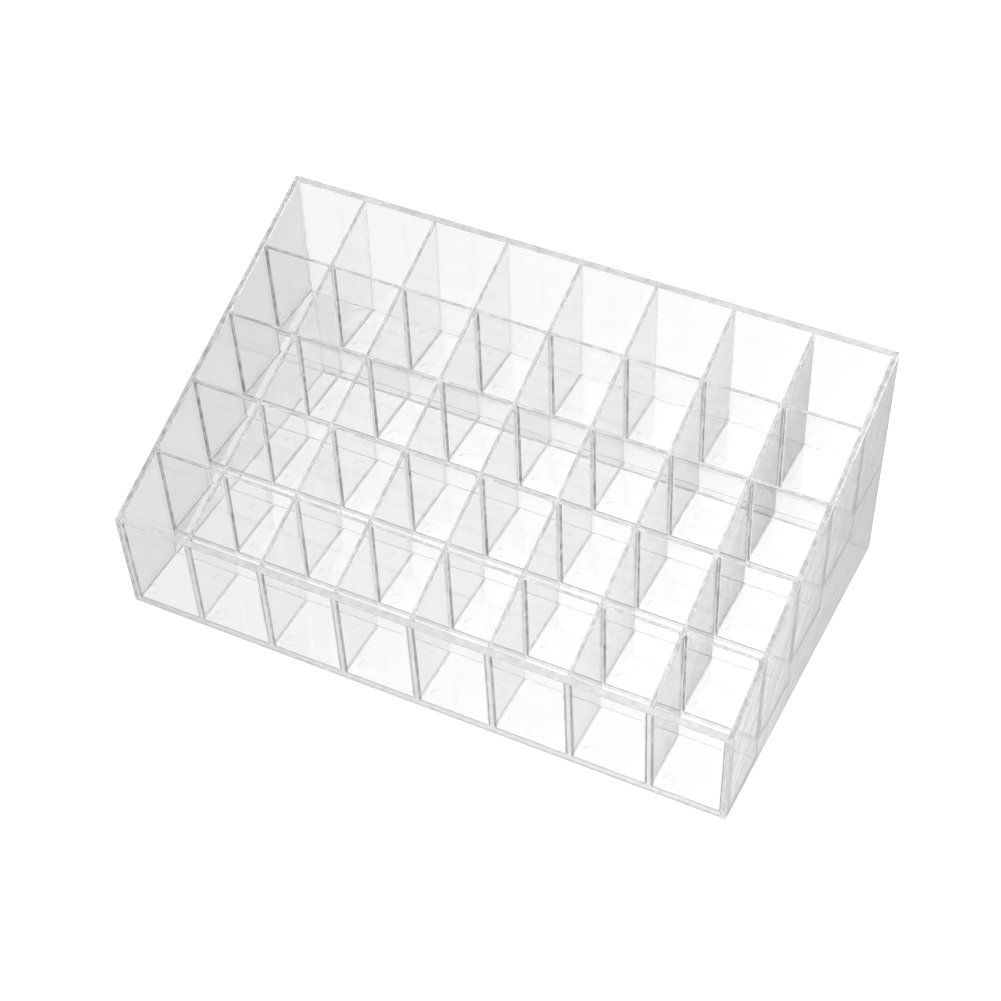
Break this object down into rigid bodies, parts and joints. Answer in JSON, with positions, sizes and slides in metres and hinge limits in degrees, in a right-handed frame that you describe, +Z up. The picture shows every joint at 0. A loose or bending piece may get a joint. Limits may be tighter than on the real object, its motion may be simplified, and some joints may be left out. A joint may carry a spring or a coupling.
{
  "type": "vanity organizer",
  "caption": "Clear plastic vanity organizer: a grid of square compartments under one sloping top, on a floor that climbs in steps, for standing lipsticks and other small cosmetics upright.",
  "frame": {"origin": "on the table, at the middle of the organizer's width and depth", "axes": "+X to the right along the width, +Y from the low front to the tall back, +Z up"},
  "size_m": [0.222, 0.1312, 0.089],
  "materials": {
    "clear_plastic": "clear, polished, with faint flow marks"
  },
  "bodies": {
    "root": {"left_side_panel": "clear_plastic", "right_side_panel": "clear_plastic", "front_panel": "clear_plastic", "back_panel": "clear_plastic", "floor_tread_1": "clear_plastic", "floor_tread_2": "clear_plastic", "floor_tread_3": "clear_plastic", "floor_tread_4": "clear_plastic", "floor_tread_5": "clear_plastic", "cross_wall_1": "clear_plastic", "cross_wall_2": "clear_plastic", "cross_wall_3": "clear_plastic", "cross_wall_4": "clear_plastic", "divider_1": "clear_plastic", "divider_2": "clear_plastic", "divider_3": "clear_plastic", "divider_4": "clear_plastic", "divider_5": "clear_plastic", "divider_6": "clear_plastic", "divider_7": "clear_plastic"}
  },
  "joints": []
}
